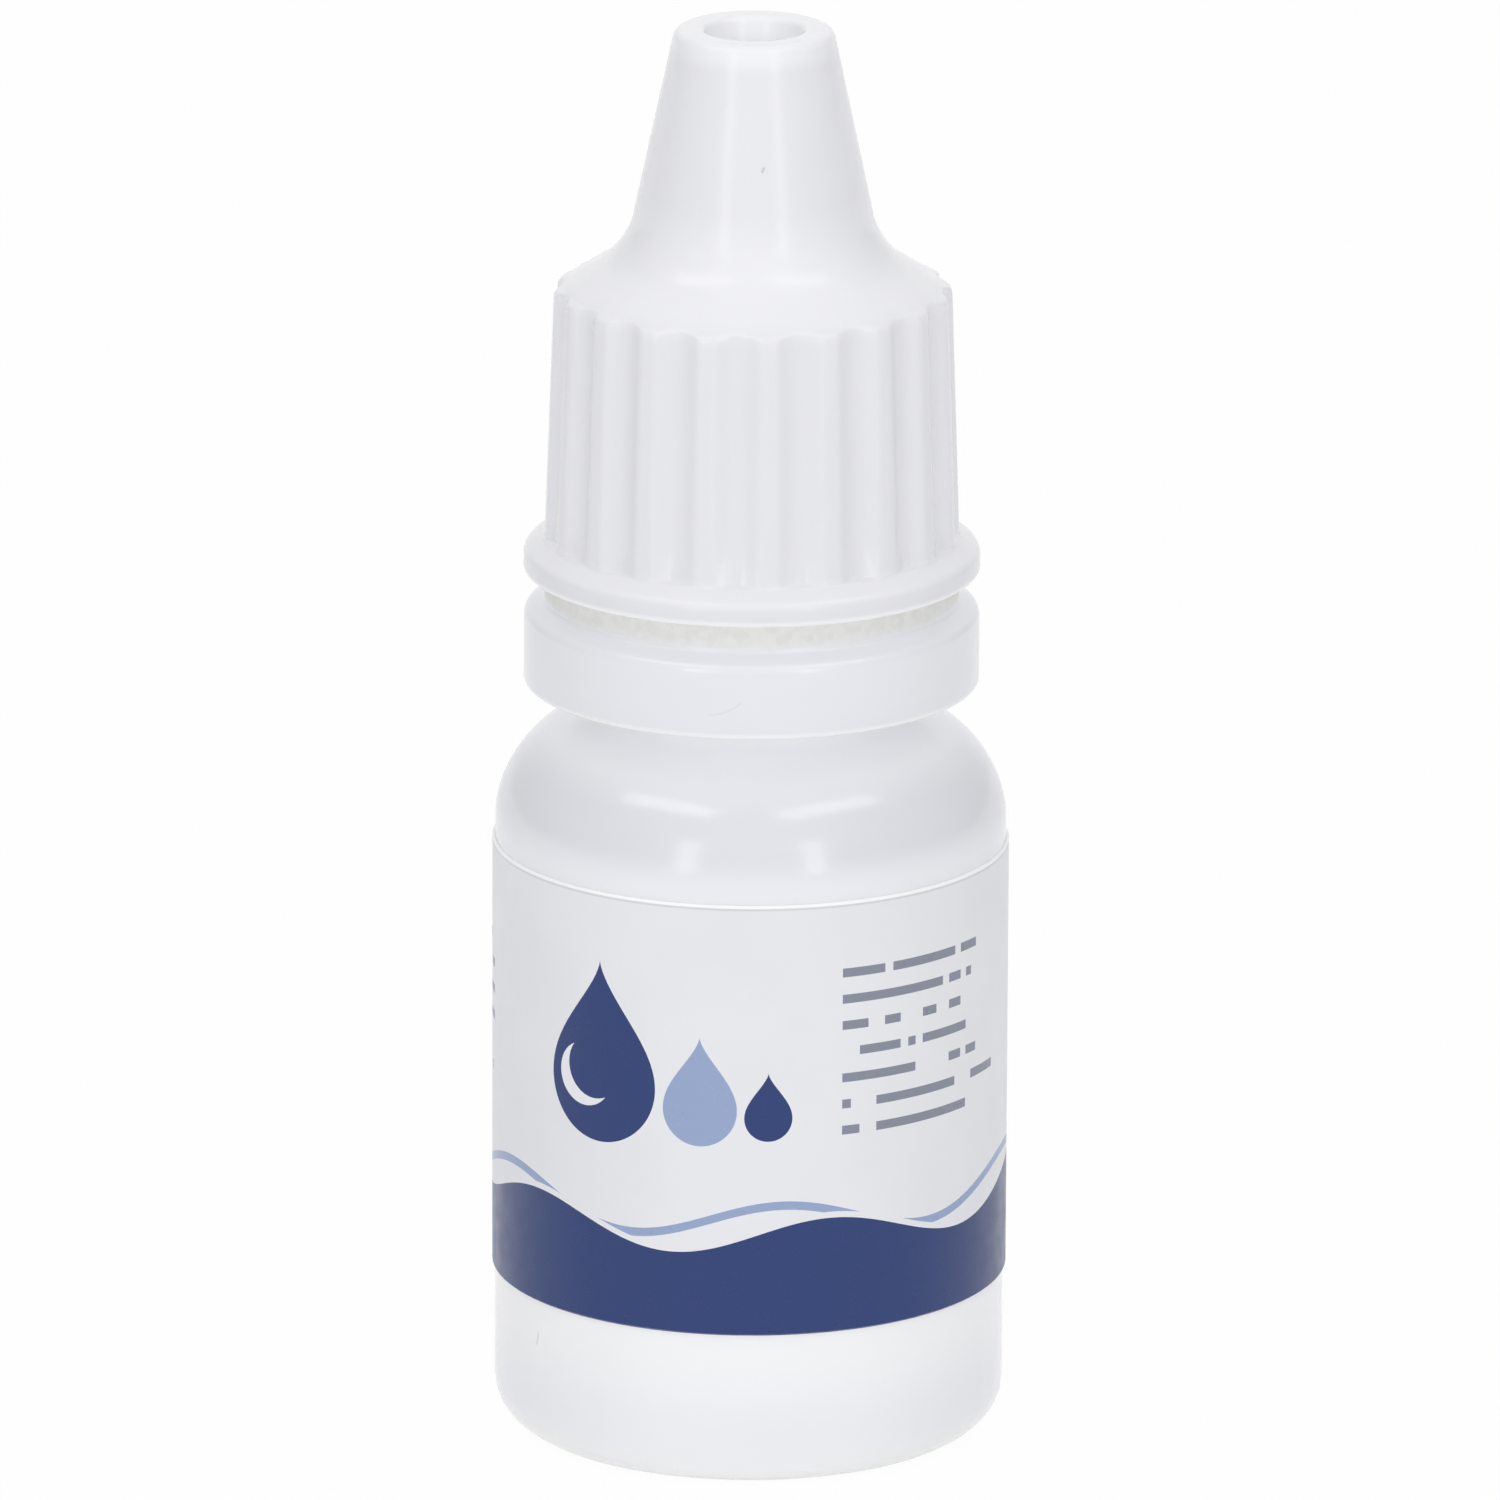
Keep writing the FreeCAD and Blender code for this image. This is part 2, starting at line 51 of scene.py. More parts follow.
def wireOutline(corners, closed=False):
    # corners are (radius, height) or (radius, height, round) in the plane y = 0
    bm = bmesh.new()
    verts = [bm.verts.new((corner[0] * mm, 0, corner[1] * mm)) for corner in corners]
    count = len(verts)
    for index in range(count if closed else count - 1):
        bm.edges.new((verts[index], verts[(index + 1) % count]))
    rounds = []
    for index, corner in enumerate(corners):
        if len(corner) == 3:
            behind = verts[index].co - verts[index - 1].co
            ahead = verts[(index + 1) % count].co - verts[index].co
            rounds.append((verts[index], corner[2], math.tan(behind.angle(ahead) / 2)))
    for vert, radius, slope in rounds:
        bmesh.ops.bevel(bm, geom=[vert], offset=radius * slope * mm, offset_type="OFFSET",
                        segments=3 + round(3 * math.sqrt(radius)), profile=0.5,
                        affect="VERTICES", material=-1)
    return bm


def splitLong(bm, longest, above=-1.0):
    for edge in bm.edges[:]:
        if min(vert.co.z for vert in edge.verts) < (above - 0.001) * mm:
            continue
        cuts = int(edge.calc_length() / (longest * mm))
        if cuts:
            bmesh.ops.subdivide_edges(bm, edges=[edge], cuts=cuts)


def closeUp(bm):
    bmesh.ops.remove_doubles(bm, verts=bm.verts[:], dist=0.0002 * mm)
    bmesh.ops.recalc_face_normals(bm, faces=bm.faces[:])


def spinFull(bm, steps):
    bmesh.ops.spin(bm, geom=bm.verts[:] + bm.edges[:], cent=(0, 0, 0), axis=(0, 0, 1),
                   angle=fullTurn, steps=steps, use_merge=True)
    closeUp(bm)


def setRadius(vert, radius):
    factor = radius * mm / math.hypot(vert.co.x, vert.co.y)
    vert.co.x *= factor
    vert.co.y *= factor


def finishPiece(bm, name, body, material, stands=(), sharp=38):
    mesh = bpy.data.meshes.new(name)
    bm.to_mesh(mesh)
    bm.free()
    mesh.polygons.foreach_set("use_smooth", [True] * len(mesh.polygons))
    mesh.set_sharp_from_angle(angle=math.radians(sharp))
    mesh.materials.append(material)
    piece = bpy.data.objects.new(name, mesh)
    bpy.context.scene.collection.objects.link(piece)
    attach(piece, body)
    if stands:
        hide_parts(*stands)
    return piece


# Shader helpers

def mathsOf(tree, operation, *values):
    node = tree.nodes.new("ShaderNodeMath")
    node.operation = operation
    for socket, value in zip(node.inputs, values):
        if isinstance(value, (int, float)):
            socket.default_value = value
        else:
            tree.links.new(value, socket)
    return node.outputs[0]


def noiseOf(tree, vector, scale, detail=2.0, stretch=None):
    node = tree.nodes.new("ShaderNodeTexNoise")
    node.inputs["Scale"].default_value = scale
    node.inputs["Detail"].default_value = detail
    if stretch:
        mapping = tree.nodes.new("ShaderNodeMapping")
        mapping.inputs["Scale"].default_value = stretch
        tree.links.new(vector, mapping.inputs["Vector"])
        vector = mapping.outputs["Vector"]
    tree.links.new(vector, node.inputs["Vector"])
    return node.outputs["Fac"]


def rampOf(tree, value, low, high, toLow=0.0, toHigh=1.0):
    node = tree.nodes.new("ShaderNodeMapRange")
    node.interpolation_type = "SMOOTHSTEP"
    tree.links.new(value, node.inputs["Value"])
    for name, number in (("From Min", low), ("From Max", high), ("To Min", toLow), ("To Max", toHigh)):
        node.inputs[name].default_value = number
    return node.outputs["Result"]


def mixOf(tree, factor, first, second, blend="MIX"):
    node = tree.nodes.new("ShaderNodeMix")
    node.data_type = "RGBA"
    node.blend_type = blend
    for socket, value in ((node.inputs[0], factor), (node.inputs[6], first), (node.inputs[7], second)):
        if isinstance(value, (int, float, tuple)):
            socket.default_value = value
        else:
            tree.links.new(value, socket)
    return node.outputs[2]


def newGroup(name, takes, gives):
    group = bpy.data.node_groups.new(name, "ShaderNodeTree")
    for socket, kind in takes:
        group.interface.new_socket(socket, in_out="INPUT", socket_type=kind)
    for socket, kind in gives:
        group.interface.new_socket(socket, in_out="OUTPUT", socket_type=kind)
    return group, group.nodes.new("NodeGroupInput").outputs, group.nodes.new("NodeGroupOutput").inputs


def newMaskGroup(name, takes):
    # numbers in, one mask out
    return newGroup(name, [(socket, "NodeSocketFloat") for socket in takes], [("Mask", "NodeSocketFloat")])


def placeGroup(tree, group, **values):
    node = tree.nodes.new("ShaderNodeGroup")
    node.node_tree = group
    for name, value in values.items():
        socket = node.inputs[name]
        if isinstance(value, (int, float, tuple)):
            socket.default_value = value
        else:
            tree.links.new(value, socket)
    return node.outputs


def hypotOf(tree, first, second):
    squares = [mathsOf(tree, "MULTIPLY", value, value) for value in (first, second)]
    return mathsOf(tree, "SQRT", mathsOf(tree, "ADD", *squares))


def buildMouldedSkin():
    # faintly cloudy tone, uneven gloss and fine grain of moulded polyethylene
    group, takes, gives = newGroup(
        "mouldedSkin",
        [("Tone", "NodeSocketColor"), ("Cloud", "NodeSocketFloat"), ("Gloss", "NodeSocketFloat"),
         ("Spread", "NodeSocketFloat")],
        [("Tone", "NodeSocketColor"), ("Roughness", "NodeSocketFloat"), ("Height", "NodeSocketFloat")])
    place = group.nodes.new("ShaderNodeTexCoord").outputs["Object"]
    cloud = noiseOf(group, place, 150.0, 1.0)
    grain = noiseOf(group, place, 5200.0, 2.0)
    handled = noiseOf(group, place, 420.0, 3.0, stretch=(1.0, 1.0, 0.35))
    shade = mathsOf(group, "SUBTRACT", 1.0, mathsOf(group, "MULTIPLY", cloud, takes["Cloud"]))
    group.links.new(mixOf(group, 1.0, takes["Tone"], shade, "MULTIPLY"), gives["Tone"])
    uneven = mathsOf(group, "MULTIPLY", rampOf(group, handled, 0.3, 0.7, -1.0, 1.0), takes["Spread"])
    group.links.new(mathsOf(group, "ADD", takes["Gloss"], uneven), gives["Roughness"])
    group.links.new(grain, gives["Height"])
    return group


def buildNick():
    # one small rubbed mark on a round wall: a short leaning stroke at a turn and a height
    group, takes, gives = newMaskGroup("nick", ("Turn", "Up", "Radius", "Half", "Lean", "Thick"))
    parts = group.nodes.new("ShaderNodeSeparateXYZ")
    group.links.new(group.nodes.new("ShaderNodeTexCoord").outputs["Object"], parts.inputs["Vector"])
    back = mathsOf(group, "MULTIPLY", parts.outputs["Y"], -1.0)
    turn = mathsOf(group, "SUBTRACT", mathsOf(group, "ARCTAN2", parts.outputs["X"], back), takes["Turn"])
    u = mathsOf(group, "MULTIPLY", turn, takes["Radius"])
    v = mathsOf(group, "SUBTRACT", mathsOf(group, "MULTIPLY", parts.outputs["Z"], 1 / mm), takes["Up"])
    sine = mathsOf(group, "SINE", takes["Lean"])
    cosine = mathsOf(group, "COSINE", takes["Lean"])
    along = mathsOf(group, "ADD", mathsOf(group, "MULTIPLY", u, cosine), mathsOf(group, "MULTIPLY", v, sine))
    across = mathsOf(group, "SUBTRACT", mathsOf(group, "MULTIPLY", v, cosine),
                     mathsOf(group, "MULTIPLY", u, sine))
    bend = mathsOf(group, "MULTIPLY", mathsOf(group, "MULTIPLY", along, along), 0.25)
    past = mathsOf(group, "SUBTRACT", mathsOf(group, "ABSOLUTE", along), takes["Half"])
    past = mathsOf(group, "MAXIMUM", past, 0.0)  # how far beyond the stroke's ends
    side = mathsOf(group, "SUBTRACT", across, bend)
    share = mathsOf(group, "DIVIDE", hypotOf(group, side, past), takes["Thick"])
    group.links.new(rampOf(group, share, 0.0, 1.0, 1.0, 0.0), gives["Mask"])
    return group


mouldedSkin = buildMouldedSkin()
nick = buildNick()


def letLightOn(tree, surface, shares):
    # thin milky plastic passes part of the light on to what lies behind it, so it throws hardly any shade
    path = tree.nodes.new("ShaderNodeLightPath").outputs
    for ray, share in shares.items():
        clear = tree.nodes.new("ShaderNodeBsdfTransparent")
        clear.inputs["Color"].default_value = (share, share, share, 1)
        mix = tree.nodes.new("ShaderNodeMixShader")
        tree.links.new(path[ray], mix.inputs["Fac"])
        tree.links.new(surface, mix.inputs[1])
        tree.links.new(clear.outputs["BSDF"], mix.inputs[2])
        surface = mix.outputs["Shader"]
    tree.links.new(surface, tree.nodes["Material Output"].inputs["Surface"])


def plasticMaterial(look):
    material = bpy.data.materials.new(look["name"])
    material.use_nodes = True
    tree = material.node_tree
    shader = tree.nodes["Principled BSDF"]
    parts = tree.nodes.new("ShaderNodeSeparateXYZ")
    tree.links.new(tree.nodes.new("ShaderNodeTexCoord").outputs["Object"], parts.inputs["Vector"])
    tone = look["tone"]
    for low, high, upper in look.get("rise", ()):  # painted light and shade: the tone is painted lighter or darker between two heights
        tone = mixOf(tree, rampOf(tree, parts.outputs["Z"], low * mm, high * mm), tone, upper)
    skin = placeGroup(tree, mouldedSkin, Tone=tone, Cloud=look["cloud"], Gloss=look["gloss"],
                      Spread=look["spread"])
    tone = skin["Tone"]
    for mark, ink in look.get("nicks", ()):
        tone = mixOf(tree, placeGroup(tree, nick, **mark)["Mask"], tone, ink)
    tree.links.new(tone, shader.inputs["Base Color"])
    tree.links.new(skin["Roughness"], shader.inputs["Roughness"])
    bump = tree.nodes.new("ShaderNodeBump")
    bump.inputs["Strength"].default_value = look["bump"]
    bump.inputs["Distance"].default_value = 0.02 * mm
    tree.links.new(skin["Height"], bump.inputs["Height"])
    tree.links.new(bump.outputs["Normal"], shader.inputs["Normal"])
    shader.inputs["IOR"].default_value = 1.5
    shader.inputs["Specular IOR Level"].default_value = look["level"]
    shader.inputs["Subsurface Weight"].default_value = look["soft"]
    shader.inputs["Subsurface Radius"].default_value = (1.0, 1.0, 1.0)
    shader.inputs["Subsurface Scale"].default_value = look["depth"] * mm
    letLightOn(tree, shader.outputs["BSDF"], look["passes"])
    return material


bottlePlastic = plasticMaterial({
    "name": "milkyPolyethylene", "tone": (0.99, 0.995, 1, 1), "cloud": 0.03, "gloss": 0.17, "spread": 0.02,
    "bump": 0.08, "level": 0.5, "soft": 0.3, "depth": 0.4, "passes": {"Is Shadow Ray": 0.85},
    # rise: painted light and shade by height, a lighter foot and lower body, a darker upper body and shoulder
    # round, and a lighter band under the ring
    "rise": [(0.4, 2.4, (0.9, 0.905, 0.95, 1)), (2.8, 7.0, (0.97, 0.975, 1, 1)),
             (24.0, 29.0, (0.87, 0.875, 0.92, 1)), (29.8, 31.6, (0.775, 0.78, 0.825, 1)),
             (33.0, 35.5, (0.895, 0.898, 0.935, 1))],
    "nicks": [({"Turn": -0.97, "Up": 5.95, "Radius": 12.25, "Half": 0.3, "Lean": 1.35, "Thick": 0.1},
               (0.75, 0.75, 0.78, 1))]})
capPlastic = plasticMaterial({
    "name": "whiteCapPlastic", "tone": (0.95, 0.952, 0.975, 1), "cloud": 0.02, "gloss": 0.19, "spread": 0.02,
    "bump": 0.1, "level": 0.3, "soft": 0.25, "depth": 0.3,
    "passes": {"Is Shadow Ray": 0.95, "Is Diffuse Ray": 0.95},
    # rise: painted light and shade by height, a lighter flange foot edge, flange top, shoulder and tip, with
    # a darker flange side, skirt and cone
    "rise": [(42.6, 42.85, (0.81, 0.812, 0.847, 1)), (43.3, 43.6, (0.855, 0.857, 0.89, 1)),
             (44.1, 44.6, (0.825, 0.827, 0.862, 1)),
             (55.5, 57.0, (0.875, 0.877, 0.908, 1)), (59.5, 61.5, (0.84, 0.842, 0.875, 1)),
             (67.6, 68.4, (0.9, 0.902, 0.935, 1))],
    "nicks": [({"Turn": 0.09, "Up": 63.3, "Radius": 5.0, "Half": 0.08, "Lean": 1.2, "Thick": 0.11},
               (0.62, 0.6, 0.6, 1))]})
dropperPlastic = plasticMaterial({
    "name": "dropperPlastic", "tone": (0.8, 0.82, 0.85, 1), "cloud": 0.03, "gloss": 0.2, "spread": 0.02,
    "bump": 0.1, "level": 0.5, "soft": 0.4, "depth": 0.4, "passes": {"Is Shadow Ray": 0.8}})
print("plastics ready")


# Bottle: blown shell with push-up base, shoulder, neck and retaining bead

bottle = {
    "wall": 0.9, "baseWall": 1.0, "footRound": 2.2, "footLand": 1.25, "pushUp": 0.9, "pushUpSlope": 1.2,
    "panelRound": 0.8, "landRound": 0.5, "shoulderHeight": 33.55, "shoulderRound": 5.1, "shoulderRise": 2.25,
    "neckRadius": 7.1, "neckWall": 1.5, "neckRootRound": 1.5, "beadRadius": 8.8, "beadFoot": 38.63,
    "beadLand": 0.35, "beadHeight": 1.0, "edgeRound": 0.1, "steps": 192, "longest": 2.5,
}


def outsideOfBottle(b, radius, neckTop):
    footRing = radius - b["footRound"] - b["footLand"]
    return [
        (0, b["pushUp"]),
        (footRing - b["pushUpSlope"], b["pushUp"], b["panelRound"]),
        (footRing, 0, b["landRound"]),
        (radius, 0, b["footRound"]),
        (radius, b["shoulderHeight"], b["shoulderRound"]),
        (b["neckRadius"], b["shoulderHeight"] + b["shoulderRise"], b["neckRootRound"]),
        (b["neckRadius"], b["beadFoot"]),
        (b["beadRadius"], b["beadFoot"], b["edgeRound"]),
        (b["beadRadius"], b["beadFoot"] + b["beadLand"], b["edgeRound"]),
        (b["neckRadius"], b["beadFoot"] + b["beadHeight"]),
        (b["neckRadius"], neckTop, b["edgeRound"]),
    ]


def insideOfBottle(b, radius, neckTop):
    footRing = radius - b["footRound"] - b["footLand"]
    bore = b["neckRadius"] - b["neckWall"]
    inside = radius - b["wall"]
    return [
        (bore, neckTop, b["edgeRound"]),
        (bore, b["shoulderHeight"] + b["shoulderRise"] - b["wall"], b["neckRootRound"]),
        (inside, b["shoulderHeight"] - b["wall"], b["shoulderRound"] - b["wall"]),
        (inside, b["baseWall"], b["footRound"] - b["wall"]),
        (footRing, b["baseWall"]),
        (footRing - b["pushUpSlope"], b["pushUp"] + b["baseWall"]),
        (0, b["pushUp"] + b["baseWall"]),
    ]


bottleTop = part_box("bottle")[1]
bodyRadius = min(bottleTop.x, bottleTop.y) / mm
neckTop = bottleTop.z / mm
wallOutline = outsideOfBottle(bottle, bodyRadius, neckTop) + insideOfBottle(bottle, bodyRadius, neckTop)
shell = wireOutline(wallOutline)
splitLong(shell, bottle["longest"])
spinFull(shell, bottle["steps"])
finishPiece(shell, "bottle_shell", "bottle", bottlePlastic, ["bottle"])
print("bottle shell:", round(bodyRadius, 3), "mm radius")


# Screw thread of the neck and of the cap: a ridge that climbs as it is spun

thread = {
    "pitch": 3.0, "turns": 1.9, "stepsPerTurn": 96, "runOut": 0.12, "halfRoot": 0.75, "halfCrest": 0.28,
    "sink": 0.06, "neckCrest": 7.56, "neckStart": 45.3, "capCrest": 7.64, "capStart": 44.4, "capTurn": 200,
}


def threadRidge(t, root, crest, start, turn):
    bm = bmesh.new()
    section = [(root, -t["halfRoot"]), (crest, -t["halfCrest"]),
               (crest, t["halfCrest"]), (root, t["halfRoot"])]
    verts = [bm.verts.new((radius * mm, 0, height * mm)) for radius, height in section]
    for index, vert in enumerate(verts):
        bm.edges.new((vert, verts[(index + 1) % len(verts)]))
    steps = round(t["turns"] * t["stepsPerTurn"])
    bmesh.ops.spin(bm, geom=bm.verts[:] + bm.edges[:], cent=(0, 0, 0), axis=(0, 0, 1),
                   dvec=(0, 0, t["pitch"] / t["stepsPerTurn"] * mm), angle=t["turns"] * fullTurn, steps=steps)
    bm.verts.index_update()
    for vert in bm.verts:
        along = vert.index // len(section) / steps  # 0 at the start of the ridge, 1 at its end
        fade = min(1.0, along / t["runOut"], (1 - along) / t["runOut"])
        fade = fade * fade * (3 - 2 * fade)
        radius = math.hypot(vert.co.x, vert.co.y) / mm
        setRadius(vert, root + (radius - root) * fade)
    bmesh.ops.holes_fill(bm, edges=[edge for edge in bm.edges if edge.is_boundary], sides=len(section))
    bmesh.ops.rotate(bm, verts=bm.verts[:], matrix=Matrix.Rotation(math.radians(turn), 3, "Z"))
    bmesh.ops.translate(bm, verts=bm.verts[:], vec=(0, 0, start * mm))
    bmesh.ops.recalc_face_normals(bm, faces=bm.faces[:])
    return bm


neckRoot = bottle["neckRadius"] - thread["sink"]
neckThread = threadRidge(thread, neckRoot, thread["neckCrest"], thread["neckStart"], 0)
finishPiece(neckThread, "neck_thread", "bottle", bottlePlastic)


# Screw cap: flange, fluted skirt, shoulder and cone with its dished tip

cap = {
    "bore": 8.1, "mouthChamfer": 0.4, "flangeReach": 1.0, "flangeEdge": 1.08, "flangeFall": 0.55,
    "flangeTopRound": 0.55, "flangeFootRound": 0.25, "skirtFootRound": 0.25, "skirtDraft": 0.42,
    "rimHeight": 13.94, "rimRound": 0.2, "rimLedge": 0.08, "ribFall": 0.22, "ribRound": 0.4,
    "crownDrop": 1.17, "shoulderLift": 1.88, "coneFoot": 6.05, "coneRootRound": 3.63, "tip": 3.77,
    "tipRound": 0.5, "tipLand": 1.4, "dishDepth": 2.6, "dishDraft": 0.6, "dishRound": 0.35,
    "dishFloorRound": 0.4, "gateRadius": 0.45, "gateHeight": 0.12, "coneWall": 1.0, "tipWall": 1.0,
    "pinRoot": 0.75, "pinEnd": 0.35, "pinLength": 1.6, "flutes": 20,
    "fluteRadius": 1.45, "fluteDepth": 0.42, "fluteTurn": -4.4,
    "fluteSoft": 0.3, "fluteFade": 0.5, "stepsPerFlute": 18, "longest": 1.6,
}


def capOutline(c, flange, foot, top):
    skirtFoot = flange - c["flangeReach"]
    ribTop = skirtFoot - c["skirtDraft"]
    rimRadius = ribTop - c["fluteDepth"] - c["rimLedge"]
    rim = foot + c["rimHeight"]
    ceiling = rim - c["crownDrop"]
    floor = top - c["dishDepth"]
    roof = floor - c["tipWall"]
    mouth = c["tip"] - c["tipLand"]
    outside = [
        (0, floor + c["gateHeight"]),
        (c["gateRadius"], floor + c["gateHeight"], c["gateHeight"] / 2),
        (c["gateRadius"], floor),
        (mouth - c["dishDraft"], floor, c["dishFloorRound"]),
        (mouth, top, c["dishRound"]),
        (c["tip"], top, c["tipRound"]),
        (c["coneFoot"], rim + c["shoulderLift"], c["coneRootRound"]),
        (rimRadius, rim, c["rimRound"]),
        (ribTop, rim - c["ribFall"], c["ribRound"]),
        (skirtFoot, foot + c["flangeEdge"] + c["flangeFall"], c["skirtFootRound"]),
        (flange, foot + c["flangeEdge"], c["flangeTopRound"]),
        (flange, foot, c["flangeFootRound"]),
    ]
    inside = [
        (c["bore"] + c["mouthChamfer"], foot),
        (c["bore"], foot + c["mouthChamfer"]),
        (c["bore"], ceiling),
        (c["coneFoot"] - c["coneWall"], ceiling),
        (c["tip"] - c["coneWall"], roof),
        (c["pinRoot"], roof),
        (c["pinEnd"], roof - c["pinLength"]),
        (0, roof - c["pinLength"]),
    ]
    return outside + inside


def softLess(first, second, blend):
    near = max(blend - abs(first - second), 0) / blend
    return min(first, second) - near * near * blend / 4


def cutFlutes(bm, c, flange, foot):
    pitch = fullTurn / c["flutes"]
    low = foot + c["flangeEdge"] + c["flangeFall"]
    high = foot + c["rimHeight"]
    landLow = flange - c["flangeReach"]
    for vert in bm.verts:
        radius = math.hypot(vert.co.x, vert.co.y) / mm
        height = vert.co.z / mm
        if radius < c["bore"] + c["mouthChamfer"] or not low < height < high + 0.01:
            continue
        land = landLow - c["skirtDraft"] * (height - low) / (high - low)
        centre = land + c["fluteRadius"] - c["fluteDepth"]
        turn = math.atan2(vert.co.y, vert.co.x)
        turn -= round(turn / pitch) * pitch
        if centre * abs(math.sin(turn)) >= c["fluteRadius"]:
            continue
        floor = centre * math.cos(turn) - math.sqrt(c["fluteRadius"] ** 2 - (centre * math.sin(turn)) ** 2)
        fade = min(1.0, (height - low) / c["fluteFade"])
        fade = math.sqrt(1 - (1 - fade) ** 2)  # the flutes run out in a round above the flange
        setRadius(vert, radius + (softLess(radius, floor, c["fluteSoft"]) - radius) * fade)


capLow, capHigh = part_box("screw_cap")
capFoot = capLow.z / mm
flangeRadius = capHigh.x / mm
capShell = wireOutline(capOutline(cap, flangeRadius, capFoot, capHigh.z / mm))
splitLong(capShell, cap["longest"])
spinFull(capShell, cap["flutes"] * cap["stepsPerFlute"])
cutFlutes(capShell, cap, flangeRadius, capFoot)
fluteTurn = Matrix.Rotation(math.radians(cap["fluteTurn"]), 3, "Z")
bmesh.ops.rotate(capShell, verts=capShell.verts[:], matrix=fluteTurn)
finishPiece(capShell, "cap_shell", "cap", capPlastic, ["screw_cap"])
capRoot = cap["bore"] + thread["sink"]
capThread = threadRidge(thread, capRoot, thread["capCrest"], thread["capStart"], thread["capTurn"])
finishPiece(capThread, "cap_thread", "cap", capPlastic)
print("cap:", cap["flutes"], "flutes")


# Tamper ring with the torn web that held it to the cap

ring = {
    "inside": 9.3, "height": 3.63, "topDrop": 0.1, "topRound": 0.5, "topSlope": 0.5, "footRound": 0.2,
    "lipRadius": 8.1, "lipRise": 0.2, "lipRamp": 0.6, "lipLand": 0.5, "steps": 600, "longest": 1.2,
    # the lower edge's tone and span paint a highlight along the ring's foot
    "tone": (0.835, 0.845, 0.888, 1), "edgeHighlightTone": (0.94, 0.945, 0.97, 1), "edge": (0.12, 0.35),
    "cloud": 0.03, "gloss": 0.18, "spread": 0.02, "markTone": (0.75, 0.76, 0.8, 1),
    "passes": {"Is Shadow Ray": 0.95, "Is Diffuse Ray": 0.95},
}
web = {
    "wall": 0.6, "height": 1.78, "foot": 0.3, "tornFrom": 0.65, "tornFade": 0.35, "longest": 0.14,
    "rough": 0.06, "ragged": 0.16, "grain": 3.6,
    "tone": (0.8, 0.8, 0.79, 1), "shade": (0.755, 0.755, 0.743, 1),
    "bridges": 10, "bridgeWidth": 0.8, "bridgeInset": 0.08, "bridgeGap": 0.02, "bridgeRound": 0.08,
}
ringMark = {"Turn": -0.11, "Up": 38.35, "Radius": 10.91, "Half": 0.8, "Lean": 0.4, "Thick": 0.07}


def ringMaterial(r, w, footHeight, tornHeight):
    # smooth moulded ring that turns into rough, torn fibre above a height
    material = bpy.data.materials.new("ringPlastic")
    material.use_nodes = True
    tree = material.node_tree
    shader = tree.nodes["Principled BSDF"]
    place = tree.nodes.new("ShaderNodeTexCoord").outputs["Object"]
    parts = tree.nodes.new("ShaderNodeSeparateXYZ")
    tree.links.new(place, parts.inputs["Vector"])
    height = parts.outputs["Z"]
    torn = rampOf(tree, height, (tornHeight - w["tornFade"]) * mm, (tornHeight + w["tornFade"]) * mm)
    above = rampOf(tree, height, (footHeight + r["edge"][0]) * mm, (footHeight + r["edge"][1]) * mm)
    tone = mixOf(tree, above, r["edgeHighlightTone"], r["tone"])  # painted highlight: the thin lower edge is painted lighter, for the light it lets out
    skin = placeGroup(tree, mouldedSkin, Tone=tone, Cloud=r["cloud"], Gloss=r["gloss"], Spread=r["spread"])
    marked = mixOf(tree, placeGroup(tree, nick, **ringMark)["Mask"], skin["Tone"], r["markTone"])
    fibre = noiseOf(tree, place, 2200.0, 4.0)
    fray = mixOf(tree, rampOf(tree, fibre, 0.35, 0.65), w["shade"], w["tone"])
    tree.links.new(mixOf(tree, torn, marked, fray), shader.inputs["Base Color"])
    tree.links.new(mathsOf(tree, "MULTIPLY_ADD", torn, 0.4, skin["Roughness"]), shader.inputs["Roughness"])
    bump = tree.nodes.new("ShaderNodeBump")
    bump.inputs["Distance"].default_value = 0.04 * mm
    tree.links.new(mathsOf(tree, "MULTIPLY_ADD", torn, 0.5, 0.05), bump.inputs["Strength"])
    tree.links.new(fibre, bump.inputs["Height"])
    tree.links.new(bump.outputs["Normal"], shader.inputs["Normal"])
    letLightOn(tree, shader.outputs["BSDF"], r["passes"])
    return material


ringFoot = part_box("tamper_ring")[0].z / mm
ringTop = ringFoot + ring["height"]
ringShoulder = ringTop - ring["topDrop"]
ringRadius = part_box("tamper_ring")[1].x / mm
lipFoot = ringFoot + ring["lipRise"]
lipEdge = lipFoot + ring["lipRamp"]
webOutside = ring["inside"] + web["wall"]
webTop = ringTop + web["height"]
tornHeight = ringTop + web["tornFrom"]
ringPlastic = ringMaterial(ring, web, ringFoot, tornHeight)
ringBand = wireOutline([
    (ring["inside"], ringFoot),
    (ringRadius, ringFoot, ring["footRound"]),
    (ringRadius, ringShoulder, ring["topRound"]),
    (webOutside, ringShoulder + ring["topSlope"], web["foot"]),
    (webOutside, tornHeight),
    (webOutside, webTop),
    (ring["inside"], webTop),
    (ring["inside"], tornHeight),
    (ring["inside"], lipEdge + ring["lipLand"]),
    (ring["lipRadius"], lipEdge + ring["lipLand"]),
    (ring["lipRadius"], lipEdge),
    (ring["inside"], lipFoot),
], closed=True)
splitLong(ringBand, ring["longest"])
splitLong(ringBand, web["longest"], tornHeight)
spinFull(ringBand, ring["steps"])
